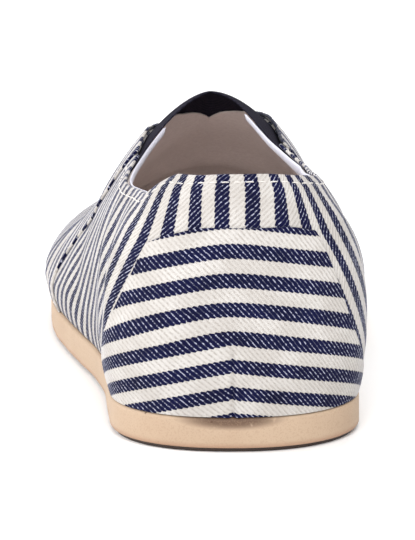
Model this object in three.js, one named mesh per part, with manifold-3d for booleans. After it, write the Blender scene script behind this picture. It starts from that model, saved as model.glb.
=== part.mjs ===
// Slip-on canvas espadrille for a left foot, standing empty on its sole.
// Millimetres, +Z up, toe towards +Y, inner side of the foot towards +X.
import * as THREE from 'three';
import { mergeVertices } from 'three/addons/utils/BufferGeometryUtils.js';
import Module from 'manifold-3d';

const wasm = await Module();
wasm.setup();

// Overall sizes
const lastLength = 247;
const heelWidth = 69.1;
const waistWidth = 69.2;
const ballWidth = 89.8;
const collarHeight = 61.5;
const instepHeight = 68;
const toeHeight = 31;
const toeSpring = 9;

// Sole
const outsoleThickness = 1.2;
const midsoleThickness = 7.5;
const soleMargin = 0.8;
const soleRounding = 1.2;

// Walls and layers
const upperWall = 1.8;
const overlayThickness = 0.8;
const goreThickness = 1.4;
const insoleThickness = 3;
const tapeThickness = 0.9;
const tapeWidth = 5;
const clearance = 0.3;

// How far the upper bulges past its line on the sole
const overhang = 2.8;

// How far the forms that hollow out the upper and its layers reach below its lower edge
const underReach = 6;

// The heel is turned a little towards the outer side of the foot
const heelTurn = THREE.MathUtils.degToRad(5);

// Where the straight run of the last ends and the round toe starts, as a share of the length
const toeStart = 0.6275;

const outsoleTop = outsoleThickness;
const midsoleBottom = outsoleTop + clearance;
const soleTop = midsoleBottom + midsoleThickness;
const featherHeight = soleTop + clearance;
const heelDepth = 0.507 * heelWidth;
const toeDepth = (1 - toeStart) * lastLength;

// Sections from heel to toe. "at" is a share of the last's length. Half widths are shares of "width",
// the crown is a share of "height" above the sole, and the widest level is a share of the collar height.
// The overhang column is a share of the overhang. The last four are the roundness of each side.
const sections = [
  { at: 0.00, width: heelWidth, outer: 0.504, inner: 0.496, shift: 0.000, height: collarHeight, crown: 1.247,
    widest: 0.309, tuck: 1.00, outerSide: 2.05, outerTop: 2.05, innerSide: 2.18, innerTop: 2.18 },
  { at: 0.14, width: heelWidth, outer: 0.504, inner: 0.496, shift: 0.000, height: collarHeight, crown: 1.060,
    widest: 0.285, tuck: 1.00, outerSide: 2.00, outerTop: 2.02, innerSide: 2.14, innerTop: 2.14 },
  { at: 0.25, width: heelWidth, outer: 0.501, inner: 0.489, shift: 0.000, height: collarHeight, crown: 1.011,
    widest: 0.244, tuck: 1.00, outerSide: 2.45, outerTop: 2.45, innerSide: 2.20, innerTop: 2.20 },
  { at: 0.34, width: waistWidth, outer: 0.517, inner: 0.483, shift: -0.007, height: instepHeight, crown: 0.926,
    widest: 0.211, tuck: 1.00, outerSide: 2.05, outerTop: 2.00, innerSide: 2.00, innerTop: 1.90 },
  { at: 0.42, width: waistWidth, outer: 0.556, inner: 0.506, shift: -0.014, height: instepHeight, crown: 1.000,
    widest: 0.179, tuck: 1.00, outerSide: 1.62, outerTop: 1.38, innerSide: 1.80, innerTop: 1.65 },
  { at: 0.50, width: ballWidth, outer: 0.470, inner: 0.440, shift: -0.006, height: instepHeight, crown: 0.846,
    widest: 0.146, tuck: 0.86, outerSide: 1.52, outerTop: 1.30, innerSide: 1.80, innerTop: 1.65 },
  { at: 0.57, width: ballWidth, outer: 0.499, inner: 0.481, shift: 0.006, height: instepHeight, crown: 0.699,
    widest: 0.114, tuck: 0.68, outerSide: 1.58, outerTop: 1.38, innerSide: 1.85, innerTop: 1.75 },
  { at: 0.63, width: ballWidth, outer: 0.507, inner: 0.493, shift: 0.011, height: instepHeight, crown: 0.576,
    widest: 0.106, tuck: 0.54, outerSide: 1.65, outerTop: 1.42, innerSide: 1.90, innerTop: 1.80 },
  { at: 0.80, width: ballWidth, outer: 0.507, inner: 0.493, shift: 0.022, height: toeHeight, crown: 0.877,
    widest: 0.106, tuck: 0.54, outerSide: 1.70, outerTop: 1.40, innerSide: 2.00, innerTop: 1.80 },
  { at: 1.00, width: ballWidth, outer: 0.507, inner: 0.493, shift: 0.045, height: toeHeight, crown: 0.677,
    widest: 0.098, tuck: 0.54, outerSide: 2.00, outerTop: 1.80, innerSide: 2.20, innerTop: 2.00 },
];

// Edge of the opening in side view: share of the length, then height above the sole on each side
// as a share of "height".
const topline = [
  { at: -0.040, height: collarHeight, outer: 1.000, inner: 1.000 },
  { at: 0.032, height: collarHeight, outer: 1.000, inner: 1.000 },
  { at: 0.049, height: collarHeight, outer: 0.990, inner: 0.988 },
  { at: 0.061, height: collarHeight, outer: 0.979, inner: 0.973 },
  { at: 0.080, height: collarHeight, outer: 0.973, inner: 0.956 },
  { at: 0.086, height: collarHeight, outer: 0.958, inner: 0.950 },
  { at: 0.092, height: collarHeight, outer: 0.932, inner: 0.944 },
  { at: 0.101, height: collarHeight, outer: 0.895, inner: 0.937 },
  { at: 0.115, height: collarHeight, outer: 0.870, inner: 0.930 },
  { at: 0.142, height: collarHeight, outer: 0.855, inner: 0.919 },
  { at: 0.202, height: collarHeight, outer: 0.829, inner: 0.886 },
  { at: 0.263, height: collarHeight, outer: 0.810, inner: 0.870 },
  { at: 0.324, height: instepHeight, outer: 0.747, inner: 0.809 },
  { at: 0.356, height: instepHeight, outer: 0.787, inner: 0.853 },
  { at: 0.385, height: instepHeight, outer: 0.868, inner: 0.919 },
  { at: 0.417, height: instepHeight, outer: 1.000, inner: 1.000 },
  { at: 0.466, height: instepHeight, outer: 1.200, inner: 1.200 },
];

// Rear edge of the toe panel in side view, from the sole up: share of the length, share of the instep height
const toePanelEdge = [
  [0.545, -0.200], [0.545, 0.080], [0.541, 0.162], [0.530, 0.235], [0.510, 0.309],
  [0.478, 0.397], [0.453, 0.466], [0.421, 0.544], [0.387, 0.662], [0.366, 0.750], [0.352, 0.850],
];

// Side edge of the heel panel in side view, from its top centre down: share of the length, share of the
// collar height
const heelPanelOuter = [
  [-0.040, 0.787], [0.022, 0.783], [0.034, 0.754], [0.052, 0.702], [0.056, 0.585],
  [0.079, 0.384], [0.105, 0.270], [0.128, 0.170], [0.148, 0.060], [0.158, -0.200],
];
const heelPanelInner = [
  [-0.040, 0.787], [0.022, 0.783], [0.029, 0.768], [0.035, 0.751], [0.037, 0.616],
  [0.041, 0.494], [0.052, 0.350], [0.068, 0.244], [0.102, 0.080], [0.122, -0.200],
];

// Elastic insert seen from above: distance ahead of the heel as a share of the length, then the half
// width on each side as a share of the waist width
const goreOutline = [
  [0.330, 0.320, 0.262], [0.356, 0.305, 0.248], [0.405, 0.270, 0.240], [0.445, 0.226, 0.205],
  [0.474, 0.164, 0.152], [0.492, 0.085, 0.080], [0.506, 0.000, 0.000],
];

// Smooth curve through (xs, ys) that never overshoots its points
function curveThrough(xs, ys) {
  const last = xs.length - 1;
  const slopes = [];
  for (let i = 0; i < last; i += 1) {
    slopes.push((ys[i + 1] - ys[i]) / (xs[i + 1] - xs[i]));
  }
  const tangents = xs.map((x, i) => {
    if (i === 0) return slopes[0];
    if (i === last) return slopes[last - 1];
    const before = slopes[i - 1];
    const after = slopes[i];
    if (before * after <= 0) return 0;
    const spanBefore = xs[i] - xs[i - 1];
    const spanAfter = xs[i + 1] - xs[i];
    const weightBefore = 2 * spanAfter + spanBefore;
    const weightAfter = spanAfter + 2 * spanBefore;
    return (weightBefore + weightAfter) / (weightBefore / before + weightAfter / after);
  });
  return (value) => {
    const x = THREE.MathUtils.clamp(value, xs[0], xs[last]);
    let i = 0;
    while (i < last - 1 && x > xs[i + 1]) i += 1;
    const span = xs[i + 1] - xs[i];
    const t = (x - xs[i]) / span;
    const s = 1 - t;
    return ys[i] * (1 + 2 * t) * s * s
      + tangents[i] * span * t * s * s
      + ys[i + 1] * t * t * (3 - 2 * t)
      - tangents[i + 1] * span * t * t * s;
  };
}

const stationYs = sections.map((row) => row.at * lastLength);
const alongLast = (valueOf) => curveThrough(stationYs, sections.map(valueOf));
const outerHalf = alongLast((row) => row.outer * row.width);
const innerHalf = alongLast((row) => row.inner * row.width);
const centreShift = alongLast((row) => row.shift * ballWidth);
const crownHeight = alongLast((row) => row.crown * row.height);
const widestLevel = alongLast((row) => row.widest * collarHeight);
const tuckIn = alongLast((row) => row.tuck * overhang);
const roundness = {
  outerSide: alongLast((row) => row.outerSide),
  outerTop: alongLast((row) => row.outerTop),
  innerSide: alongLast((row) => row.innerSide),
  innerTop: alongLast((row) => row.innerTop),
};

// The sole is flat on the floor up to the ball and curves up to the toe
function springAt(y) {
  const share = THREE.MathUtils.clamp((y / lastLength - 0.68) / 0.32, 0, 1.1);
  return toeSpring * share * share;
}

// Stations run from the heel's back (0) round the side to the toe (1): a fan about the heel's centre,
// a straight run, and a fan about the ball's centre.
const heelShare = 0.2;
const toeShare = 0.62;

function stationBase(station) {
  if (station < heelShare) {
    return { y: heelDepth, angle: (Math.PI / 2) * (station / heelShare) };
  }
  if (station > toeShare) {
    const turn = (Math.PI / 2) * ((station - toeShare) / (1 - toeShare));
    const beyond = Math.atan2(toeDepth * Math.sin(turn), 0.5 * ballWidth * Math.cos(turn));
    return { y: toeStart * lastLength, angle: Math.PI / 2 + beyond };
  }
  const share = (station - heelShare) / (toeShare - heelShare);
  return { y: THREE.MathUtils.lerp(heelDepth, toeStart * lastLength, share), angle: Math.PI / 2 };
}

// A point of the last's skin. side is -1 on the outer side and 1 on the inner side of the foot,
// and level runs from the sole (0) over the widest line (levelOfWidest) to the crown (1).
const levelOfWidest = 0.2;

function skinPoint(side, station, level) {
  const base = stationBase(station);
  const half = side < 0 ? outerHalf(base.y) : innerHalf(base.y);
  const back = Math.cos(base.angle);
  const across = Math.sin(base.angle);
  const depth = back > 0 ? heelDepth : toeDepth;
  const power = back > 0 ? 2.25 : 2.2;
  const reach = (Math.abs(back) / depth) ** power + (across / half) ** power;
  const radius = reach ** (-1 / power);
  const roundedAs = back > 0 ? base.y * (1 - back) : base.y - 0.6 * toeDepth * back;
  const name = side < 0 ? 'outer' : 'inner';
  const sidePower = roundness[`${name}Side`](roundedAs);
  const topPower = roundness[`${name}Top`](roundedAs);
  const rise = THREE.MathUtils.clamp((level - levelOfWidest) / (1 - levelOfWidest), 0, 1) * (Math.PI / 2);
  const lower = THREE.MathUtils.clamp(level / levelOfWidest, 0, 1);
  const below = level < levelOfWidest;
  const inward = tuckIn(base.y) * (1 - lower) ** 2;
  const spread = below ? radius - inward : radius * Math.max(0, Math.cos(rise)) ** (2 / sidePower);
  const turned = side * base.angle - heelTurn * Math.max(0, back);
  const x = centreShift(base.y) + spread * Math.sin(turned);
  const y = base.y - spread * Math.cos(turned);
  const widest = widestLevel(y);
  const climb = below ? 0 : Math.sin(rise) ** (2 / topPower);
  const height = widest * lower + (crownHeight(y) - widest) * climb;
  return new THREE.Vector3(x, y, featherHeight + springAt(y) + height);
}

function skinNormal(side, station, level) {
  const step = 1e-3;
  if (level > 1 - step) {
    const base = stationBase(station);
    const slope = (crownHeight(base.y + 1) - crownHeight(base.y - 1)) / 2;
    return new THREE.Vector3(0, -slope, 1).normalize();
  }
  const from = Math.max(0, station - step);
  const to = Math.min(1, station + step);
  const low = Math.max(0, level - step);
  const alongStations = skinPoint(side, to, level).sub(skinPoint(side, from, level));
  const upLevels = skinPoint(side, station, level + step).sub(skinPoint(side, station, low));
  const normal = new THREE.Vector3().crossVectors(alongStations, upLevels);
  return normal.multiplyScalar(side).normalize();
}

const spread = (count, from, to) => (
  Array.from({ length: count }, (unused, i) => from + ((to - from) * i) / count)
);
const stations = [
  ...spread(9, 0, heelShare),
  ...spread(15, heelShare, toeShare),
  ...spread(11, toeShare, 1),
  1,
];
const levels = [
  ...spread(3, 0, levelOfWidest),
  ...spread(12, levelOfWidest, 1),
  1,
];

// Closed mesh from rings of points that all have as many points as there are ring places
function closedGeometry(positions, triangles) {
  const geometry = new THREE.BufferGeometry();
  geometry.setAttribute('position', new THREE.Float32BufferAttribute(positions, 3));
  geometry.setIndex(triangles);
  const merged = mergeVertices(geometry, 1e-4);
  const index = merged.getIndex().array;
  const kept = [];
  for (let i = 0; i < index.length; i += 3) {
    const [a, b, c] = [index[i], index[i + 1], index[i + 2]];
    if (a !== b && b !== c && c !== a) kept.push(a, b, c);
  }
  merged.setIndex(kept);
  return merged;
}

function toSolid(geometry) {
  const bare = geometry.clone();
  bare.deleteAttribute('normal');
  bare.deleteAttribute('uv');
  const merged = mergeVertices(bare, 1e-4);
  return new wasm.Manifold(new wasm.Mesh({
    numProp: 3,
    vertProperties: new Float32Array(merged.getAttribute('position').array),
    triVerts: new Uint32Array(merged.getIndex().array),
  }));
}

function toGeometry(solid) {
  const mesh = solid.getMesh();
  const geometry = new THREE.BufferGeometry();
  geometry.setAttribute('position', new THREE.BufferAttribute(new Float32Array(mesh.vertProperties), 3));
  geometry.setIndex(new THREE.BufferAttribute(new Uint32Array(mesh.triVerts), 1));
  geometry.computeVertexNormals();
  return geometry;
}

// Ring of skin places round the shoe: the outer side from heel to toe, then the inner side back
const ring = [
  ...stations.map((station) => ({ side: -1, station })),
  ...stations.slice(1, -1).reverse().map((station) => ({ side: 1, station })),
];

// Solid last form whose skin lies "offset" outside the upper's outer face and whose bottom lies
// "drop" under the upper's lower edge
function lastForm(offset, drop) {
  const rows = levels.map((level) => ring.map(({ side, station }) => {
    const point = skinPoint(side, station, level);
    point.addScaledVector(skinNormal(side, station, level), offset);
    if (level === 0) point.z = featherHeight + springAt(point.y);
    return point;
  }));
  rows.unshift(rows[0].map((point) => point.clone().setZ(featherHeight + springAt(point.y) - drop)));
  return solidFromRows(drop > 0 ? rows : rows.slice(1));
}

// Closed solid from rings laid one above the other, its ends closed by rungs from side to side
function solidFromRows(rows) {
  const count = ring.length;
  const positions = rows.flat().flatMap((point) => [point.x, point.y, point.z]);
  const triangles = [];
  for (let row = 0; row + 1 < rows.length; row += 1) {
    for (let i = 0; i < count; i += 1) {
      const a = row * count + i;
      const b = row * count + ((i + 1) % count);
      triangles.push(a, a + count, b, b, a + count, b + count);
    }
  }
  const close = (first, upward) => {
    for (let i = 0; i < stations.length - 1; i += 1) {
      const a = first + i;
      const b = first + i + 1;
      const c = first + ((count - i) % count);
      const d = first + ((count - i - 1) % count);
      const quad = upward ? [a, c, b, c, d, b] : [a, b, c, c, b, d];
      triangles.push(...quad);
    }
  };
  close(0, false);
  close((rows.length - 1) * count, true);
  return toSolid(closedGeometry(positions, triangles));
}

// Straight-sided cutters: an outline in side view drawn across the shoe, or one in plan drawn upwards
const acrossShoe = new THREE.Matrix4().makeBasis(
  new THREE.Vector3(0, 1, 0),
  new THREE.Vector3(0, 0, 1),
  new THREE.Vector3(1, 0, 0),
);

function extruded(outline, from, to, turn) {
  const shape = new THREE.Shape(outline.map(([u, v]) => new THREE.Vector2(u, v)));
  const geometry = new THREE.ExtrudeGeometry(shape, { depth: to - from, bevelEnabled: false });
  geometry.translate(0, 0, from);
  if (turn) geometry.applyMatrix4(turn);
  return toSolid(geometry);
}

const far = lastLength;
const splitX = -heelDepth * Math.sin(heelTurn);

function bothSides(outerOutline, innerOutline) {
  const outerPart = extruded(outerOutline, -far, splitX, acrossShoe);
  const innerPart = extruded(innerOutline, splitX - 0.01, far, acrossShoe);
  return outerPart.add(innerPart);
}

// Everything above the topline, or above a line that runs "lower" millimetres under it
function aboveTopline(lower) {
  const ys = topline.map((row) => row.at * lastLength);
  const outlineOf = (name) => {
    const line = curveThrough(ys, topline.map((row) => row[name] * row.height));
    const points = [];
    const count = 56;
    for (let i = 0; i <= count; i += 1) {
      const y = THREE.MathUtils.lerp(ys[0], ys[ys.length - 1], i / count);
      const slope = line(y + 0.5) - line(y - 0.5);
      points.push([y, featherHeight + line(y) - lower * Math.hypot(1, slope)]);
    }
    points.push([ys[ys.length - 1], far], [ys[0], far]);
    return points;
  };
  return bothSides(outlineOf('outer'), outlineOf('inner'));
}

const opening = aboveTopline(0);
const outerForm = lastForm(0, 0);
const innerForm = lastForm(-upperWall, underReach);

// Elastic insert's outline in plan, grown by "grow"
function goreCutter(grow) {
  const row = ([at, outer, inner]) => [at * lastLength, outer * waistWidth, inner * waistWidth];
  const rows = goreOutline.map(row);
  const middle = centreShift(rows[rows.length - 1][0]);
  const tip = rows.length - 1;
  rows[0][0] -= grow;
  const outerPoints = rows.slice(0, tip).map(([y, outer]) => [middle - outer - grow, y]);
  const innerPoints = rows.slice(0, tip).map(([y, , inner]) => [middle + inner + grow, y]);
  const outline = [...innerPoints, [middle, rows[tip][0] + grow], ...outerPoints.reverse()];
  return extruded(outline, featherHeight + 0.3 * instepHeight, far);
}

const upperSolid = outerForm.subtract(innerForm).subtract(opening).subtract(goreCutter(0));

// Gore: fills the notch in the throat, a little inside the upper's outer face
const goreSolid = outerForm
  .subtract(lastForm(-goreThickness, underReach))
  .intersect(goreCutter(-clearance))
  .subtract(opening);

// Overlays lie on the upper
const overlayOuter = lastForm(clearance + overlayThickness, 0);
const overlayLayer = overlayOuter.subtract(lastForm(clearance, underReach)).subtract(opening);

const toePanelLine = toePanelEdge.map(([at, rise]) => [at * lastLength, featherHeight + rise * instepHeight]);
const toePanelOutline = [
  ...toePanelLine.slice().reverse(),
  [1.2 * lastLength, featherHeight - 0.2 * instepHeight],
  [1.2 * lastLength, far],
  [toePanelLine[toePanelLine.length - 1][0], far],
];
const vampSolid = overlayLayer
  .intersect(bothSides(toePanelOutline, toePanelOutline))
  .subtract(goreCutter(2 * clearance));

const heelPanelOutline = (edge) => {
  const line = edge.map(([at, rise]) => [at * lastLength, featherHeight + rise * collarHeight]);
  return [...line, [line[0][0], line[line.length - 1][1]]].reverse();
};
const counterSolid = overlayLayer
  .intersect(bothSides(heelPanelOutline(heelPanelOuter), heelPanelOutline(heelPanelInner)));

// White tape inside the opening's edge on each side, from the throat back to the heel tab's corners
const tapeOuterFace = upperWall + clearance;
const tapeBand = lastForm(-tapeOuterFace, underReach)
  .subtract(lastForm(-tapeOuterFace - tapeThickness, underReach + tapeThickness))
  .intersect(aboveTopline(tapeWidth))
  .subtract(opening);
const tapeRear = 0.120 * lastLength;
const tapeFront = 0.4 * lastLength;
const tapeSide = (from, to) => tapeBand.intersect(
  extruded([[from, tapeRear], [to, tapeRear], [to, tapeFront], [from, tapeFront]], 0, far),
);
const outerTapeSolid = tapeSide(-far, -0.1 * waistWidth);
const innerTapeSolid = tapeSide(0.1 * waistWidth, far);

// Insole: fills the upper from side to side on top of the midsole
const insoleForm = lastForm(-upperWall - clearance, 0);
const insoleRows = (lift) => ring.map(({ side, station }) => {
  const point = skinPoint(side, station, 0);
  point.addScaledVector(skinNormal(side, station, levelOfWidest), 4 * upperWall);
  return point.setZ(featherHeight + springAt(point.y) + lift);
});
const insoleSolid = insoleForm.intersect(solidFromRows([insoleRows(0.01), insoleRows(insoleThickness)]));

// Sole layers follow the upper's line on the sole, set out by the margin
function soleRing(bottom, outset) {
  return ring.map(({ side, station }) => {
    const point = skinPoint(side, station, 0);
    const normal = skinNormal(side, station, levelOfWidest).setZ(0).normalize();
    point.addScaledVector(normal, outset);
    return point.setZ(bottom + springAt(point.y));
  });
}

const midsoleSolid = solidFromRows([
  soleRing(midsoleBottom, soleMargin),
  soleRing(soleTop - soleRounding, soleMargin),
  soleRing(soleTop - 0.3 * soleRounding, soleMargin - 0.3 * soleRounding),
  soleRing(soleTop, soleMargin - soleRounding),
]);
const outsoleSolid = solidFromRows([
  soleRing(0, soleMargin - 0.3 * soleRounding),
  soleRing(outsoleTop, soleMargin - 0.3 * soleRounding),
]);

const foam = new THREE.MeshStandardMaterial({ color: 0xe0c0a2, roughness: 0.7, metalness: 0 });
const rubber = new THREE.MeshStandardMaterial({ color: 0x2a211d, roughness: 0.75, metalness: 0 });
const canvas = new THREE.MeshStandardMaterial({ color: 0xded6d0, roughness: 0.9, metalness: 0 });
const stripe = new THREE.MeshStandardMaterial({ color: 0x3a4468, roughness: 0.9, metalness: 0 });
const elastic = new THREE.MeshStandardMaterial({ color: 0x1d1b22, roughness: 0.85, metalness: 0 });
const tape = new THREE.MeshStandardMaterial({ color: 0xf2eeec, roughness: 0.85, metalness: 0 });
const lining = new THREE.MeshStandardMaterial({ color: 0x8b7872, roughness: 0.95, metalness: 0 });

const group = new THREE.Group();
const place = (name, solid, material) => {
  const mesh = new THREE.Mesh(toGeometry(solid), material);
  mesh.name = name;
  group.add(mesh);
};
place('outsole', outsoleSolid, rubber);
place('midsole', midsoleSolid, foam);
place('insole', insoleSolid, lining);
place('upper', upperSolid, canvas);
place('vamp', vampSolid, stripe);
place('heel_counter', counterSolid, stripe);
place('gore', goreSolid, elastic);
place('tape_outer', outerTapeSolid, tape);
place('tape_inner', innerTapeSolid, tape);

// The origin is on the floor under the middle of the shoe
const box = new THREE.Box3().setFromObject(group);
const middle = box.getCenter(new THREE.Vector3());
group.position.set(-middle.x, -middle.y, -box.min.z);

export default group;
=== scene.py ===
import math

import bmesh
import bpy
import numpy as np
from mathutils import Euler, Matrix, Vector


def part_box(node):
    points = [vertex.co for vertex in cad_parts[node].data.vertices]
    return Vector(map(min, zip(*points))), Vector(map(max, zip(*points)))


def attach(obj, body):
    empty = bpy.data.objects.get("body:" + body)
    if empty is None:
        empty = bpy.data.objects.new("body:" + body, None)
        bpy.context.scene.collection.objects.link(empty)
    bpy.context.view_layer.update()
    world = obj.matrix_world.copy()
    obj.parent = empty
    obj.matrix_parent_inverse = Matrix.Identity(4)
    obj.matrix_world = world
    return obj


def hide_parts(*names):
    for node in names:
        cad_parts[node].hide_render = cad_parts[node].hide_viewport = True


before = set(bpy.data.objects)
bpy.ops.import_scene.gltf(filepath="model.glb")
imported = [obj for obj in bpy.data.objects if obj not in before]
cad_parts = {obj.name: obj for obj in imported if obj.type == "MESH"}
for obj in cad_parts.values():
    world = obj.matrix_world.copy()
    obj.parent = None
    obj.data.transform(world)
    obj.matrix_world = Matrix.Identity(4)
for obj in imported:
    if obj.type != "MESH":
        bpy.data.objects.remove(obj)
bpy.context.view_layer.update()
print("frame loaded:", ", ".join(sorted(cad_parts)))

# The last. Millimetres, heel's back at y = 0, floor at z = 0, outer side of the foot at -x.
shoe = dict(
    length=247.0, heelDepth=35.0, toeDepth=92.0, toeHalf=44.9, heelTurn=5.0, heelPower=2.25, toePower=2.2,
    heelShare=0.2, toeShare=0.62, widestShare=0.2, feather=9.3, toeSpring=9.0, springFrom=0.68,
    toeMeeting=0.16, heelMeeting=0.07,  # share of each side over which its section turns into the common one
    toeReach=0.6,  # share of the toe's depth over which its roundness is read forward
)
ballY = shoe["length"] - shoe["toeDepth"]
sides = ((-1, "outer"), (1, "inner"))
lastRows = dict(
    at=[0.00, 0.14, 0.25, 0.34, 0.42, 0.50, 0.57, 0.63, 0.80, 1.00],
    outer=[34.8, 34.8, 34.6, 35.8, 38.5, 42.2, 44.8, 45.5, 45.5, 45.5],
    inner=[34.3, 34.3, 33.8, 33.4, 35.0, 39.5, 43.2, 44.3, 44.3, 44.3],
    shift=[0.0, 0.0, 0.0, -0.6, -1.3, -0.5, 0.5, 1.0, 2.0, 4.0],
    crown=[76.7, 65.2, 62.2, 63.0, 68.0, 57.5, 47.5, 39.2, 27.2, 21.0],
    widest=[19.0, 17.5, 15.0, 13.0, 11.0, 9.0, 7.0, 6.5, 6.5, 6.0],
    tuck=[2.8, 2.8, 2.8, 2.8, 2.8, 2.4, 1.9, 1.5, 1.5, 1.5],
    outerSide=[2.05, 2.00, 2.45, 2.05, 1.62, 1.52, 1.58, 1.65, 1.70, 2.00],
    outerTop=[2.05, 2.02, 2.45, 2.00, 1.38, 1.30, 1.38, 1.42, 1.40, 1.80],
    innerSide=[2.18, 2.14, 2.20, 2.00, 1.80, 1.80, 1.85, 1.90, 2.00, 2.20],
    innerTop=[2.18, 2.14, 2.20, 1.90, 1.65, 1.65, 1.75, 1.80, 1.80, 2.00],
)
# Edge of the opening in side view, heights above the line where the upper meets the sole
toplineRows = dict(
    y=[-9.9, 7.9, 12.1, 15.1, 19.8, 21.2, 22.7, 25.0, 28.4,
       35.1, 49.9, 65.0, 80.0, 87.9, 95.1, 103.0, 115.1],
    outer=[61.5, 61.5, 60.9, 60.2, 59.8, 58.9, 57.3, 55.0, 53.5,
           52.6, 51.0, 49.8, 50.8, 53.5, 59.0, 68.0, 81.6],
    inner=[61.5, 61.5, 60.8, 59.8, 58.8, 58.4, 58.1, 57.6, 57.2,
           56.5, 54.5, 53.5, 55.0, 58.0, 62.5, 68.0, 81.6],
)
# Elastic insert in plan: half widths on each side of the crown line
goreRows = dict(
    y=[81.5, 87.9, 100.0, 109.9, 117.1, 121.5, 125.0],
    outer=[22.1, 21.1, 18.7, 15.6, 11.3, 5.9, 0.0],
    inner=[18.1, 17.2, 16.6, 14.2, 10.5, 5.5, 0.0], start=(87.0, 83.6),
)
vampEdge = dict(
    z=[-4.3, 14.7, 20.3, 25.3, 30.3, 36.3, 41.0, 46.3, 54.3, 60.3, 67.1],
    y=[134.6, 134.6, 133.6, 130.9, 126.0, 118.1, 111.9, 104.0, 95.6, 90.4, 86.9],
)
# Heel panel: its top edge against y, and its side edges against height
counterRows = dict(
    topY=[-9.9, 5.4, 8.4, 12.9], outerTop=[57.7, 57.5, 55.7, 52.5], innerTop=[57.7, 57.4, 55.9, 54.5],
    outerZ=[-3.0, 13.0, 19.8, 25.9, 32.9, 45.3, 52.5], outerY=[39.0, 36.6, 31.6, 25.9, 19.5, 13.8, 12.9],
    innerZ=[-3.0, 14.2, 24.3, 30.8, 39.7, 47.2, 55.5], innerY=[30.1, 25.2, 16.8, 12.8, 10.1, 9.1, 8.6],
)
# Outer and inner face of each sheet, measured out from the skin
layers = dict(overlay=(0.72, 0.06), quarter=(0.0, -0.9), gore=(-0.95, -1.4), lining=(-1.45, -2.0),
              tape=(-2.05, -2.85))
cloth = dict(stripePitch=7.5, navyShare=0.5, twillPitch=1.08, twillAngle=47.0)


def curveThrough(xs, ys):
    # smooth curve that never overshoots its points
    xs = np.array(xs, float)
    ys = np.array(ys, float)
    span = np.diff(xs)
    slope = np.diff(ys) / span
    tangent = np.zeros_like(ys)
    tangent[0], tangent[-1] = slope[0], slope[-1]
    for i in range(1, len(xs) - 1):
        if slope[i - 1] * slope[i] > 0:
            before = 2 * span[i] + span[i - 1]
            after = span[i] + 2 * span[i - 1]
            tangent[i] = (before + after) / (before / slope[i - 1] + after / slope[i])

    def curve(x):
        x = np.clip(np.asarray(x, float), xs[0], xs[-1])
        i = np.clip(np.searchsorted(xs, x, side="right") - 1, 0, len(xs) - 2)
        t = (x - xs[i]) / span[i]
        return (ys[i] * (1 + 2 * t) * (1 - t) ** 2 + tangent[i] * span[i] * t * (1 - t) ** 2
                + ys[i + 1] * t * t * (3 - 2 * t) - tangent[i + 1] * span[i] * t * t * (1 - t))
    return curve


stationYs = [share * shoe["length"] for share in lastRows["at"]]
lastCurve = {name: curveThrough(stationYs, column) for name, column in lastRows.items() if name != "at"}
topline = {name: curveThrough(toplineRows["y"], toplineRows[name]) for _, name in sides}


def bySide(ring, outerValue, innerValue):
    return np.where(ring < 0, outerValue, innerValue)


def smoothed(share):
    return share ** 2 * (3 - 2 * share)


def springAt(y):
    share = np.clip((y / shoe["length"] - shoe["springFrom"]) / (1 - shoe["springFrom"]), 0, 1.1)
    return shoe["toeSpring"] * share ** 2


def footAt(y):
    # height of the line where the upper meets the sole
    return shoe["feather"] + springAt(y)


def stationBase(station):
    heel, toe = shoe["heelShare"], shoe["toeShare"]
    turn = np.clip((station - toe) / (1 - toe), 0, 1) * math.pi / 2
    beyond = np.arctan2(shoe["toeDepth"] * np.sin(turn), shoe["toeHalf"] * np.cos(turn))
    angle = np.where(station < heel, math.pi / 2 * station / heel, math.pi / 2 + beyond)
    straight = np.clip((station - heel) / (toe - heel), 0, 1)
    return shoe["heelDepth"] + (ballY - shoe["heelDepth"]) * straight, angle


def stationAt(y):
    # the straight part of the side, turned round: from a place along the foot to the station
    share = (y - shoe["heelDepth"]) / (ballY - shoe["heelDepth"])
    return shoe["heelShare"] + share * (shoe["toeShare"] - shoe["heelShare"])


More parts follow.
